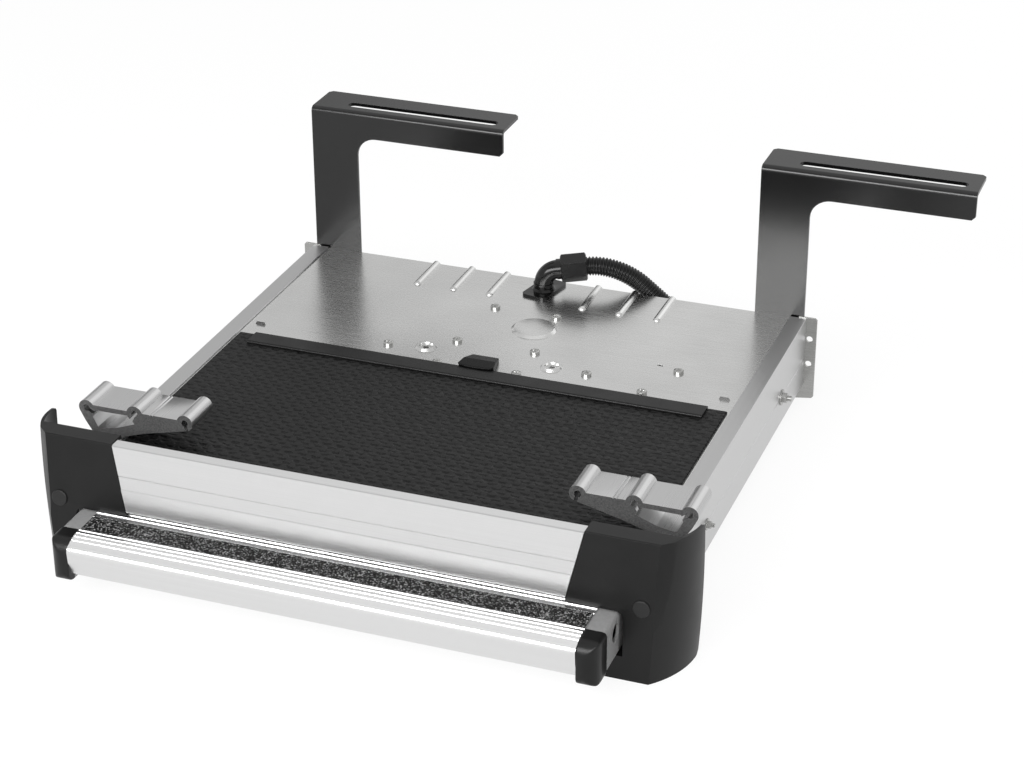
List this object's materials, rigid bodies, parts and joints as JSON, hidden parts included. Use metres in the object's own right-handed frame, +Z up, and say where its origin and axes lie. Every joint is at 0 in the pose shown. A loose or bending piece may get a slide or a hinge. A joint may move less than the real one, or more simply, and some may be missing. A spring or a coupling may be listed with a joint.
{
  "type": "caravan pull out step",
  "caption": "Electric slide-out entrance step for a caravan, shown closed: flat housing, ribbed tread on two arms, corner caps, mounting brackets and a cable hose.",
  "frame": {"origin": "middle of the four holes in the rear plate's ears, at the rear face of the rear plate", "axes": "+X along the step to its right as seen from the front, +Y to the rear, away from the tread, +Z up"},
  "size_m": [0.8012, 0.716, 0.2696],
  "materials": {
    "plate_steel": "galvanised, brushed",
    "rail_aluminium": "bright anodised",
    "fascia_aluminium": "satin anodised",
    "cap_plastic": "satin",
    "plug_plastic": "satin",
    "rear_steel": "galvanised",
    "bracket_black": "satin powder coat",
    "fastener_steel": "zinc plated",
    "bracket_mill": "mill finish",
    "pad_aluminium": "mill finish",
    "mat_rubber": "matte",
    "strip_plastic": "satin",
    "clip_plastic": "satin",
    "screw_steel": "zinc plated",
    "gearbox_cast": "die cast",
    "motor_paint": "satin",
    "guide_plastic": "satin",
    "box_plastic": "satin",
    "elbow_plastic": "glossy",
    "sleeve_plastic": "semi-gloss",
    "hose_plastic": "semi-gloss",
    "connector_plastic": "satin",
    "gear_steel": "machined",
    "rack_steel": "machined",
    "tread_aluminium": "satin anodised",
    "grit_tape": "coarse grit",
    "tread_cap_rubber": "satin",
    "arm_paint": "satin",
    "arm_screw_steel": "zinc plated",
    "member_aluminium": "mill finish",
    "glide_plastic": "satin"
  },
  "bodies": {
    "housing": {"top_plate": "plate_steel", "side_rail_left": "rail_aluminium", "side_rail_right": "rail_aluminium", "front_fascia": "fascia_aluminium", "corner_cap_left": "cap_plastic", "corner_cap_right": "cap_plastic", "cap_plug_left": "plug_plastic", "cap_plug_right": "plug_plastic", "rear_plate": "rear_steel", "rear_bracket_left": "bracket_black", "rear_bracket_right": "bracket_black", "rear_bolts_left": "fastener_steel", "rear_bolts_right": "fastener_steel", "front_bracket_left": "bracket_mill", "front_bracket_right": "bracket_mill", "bracket_pad_left": "pad_aluminium", "bracket_pad_right": "pad_aluminium", "rail_bolts_left": "fastener_steel", "rail_bolts_right": "fastener_steel", "grip_mat": "mat_rubber", "edge_strip": "strip_plastic", "strip_clip": "clip_plastic", "drive_screws": "screw_steel", "plate_screws": "screw_steel", "box_screws": "screw_steel", "plate_nuts": "screw_steel", "gearbox": "gearbox_cast", "motor": "motor_paint", "rack_guide": "guide_plastic", "control_box": "box_plastic", "cable_elbow": "elbow_plastic", "hose_sleeve": "sleeve_plastic", "corrugated_hose": "hose_plastic", "hose_connector": "connector_plastic"},
    "carriage": {"tread": "tread_aluminium", "grip_tape": "grit_tape", "tread_cap_left": "tread_cap_rubber", "tread_cap_right": "tread_cap_rubber", "arm_left": "arm_paint", "arm_right": "arm_paint", "arm_screw_left": "arm_screw_steel", "arm_screw_right": "arm_screw_steel", "cross_member": "member_aluminium", "rack": "rack_steel", "glide_front_left": "glide_plastic", "glide_front_right": "glide_plastic", "glide_rear_left": "glide_plastic", "glide_rear_right": "glide_plastic"},
    "drive_pinion": {"pinion": "gear_steel"}
  },
  "joints": [
    {"name": "tread_slide", "type": "slide", "parent": "housing", "child": "carriage", "axis": [0, -1, 0], "range_m": [0, 0.19]},
    {"name": "pinion_turn", "type": "hinge", "parent": "housing", "child": "drive_pinion", "pos_m": [0, -0.2085, -0.0185], "axis": [0, 0, 1], "range_deg": [0, 726]}
  ],
  "couplings": [
    {"joint": "pinion_turn", "follows": "tread_slide", "rad_per_m": 66.667}
  ]
}
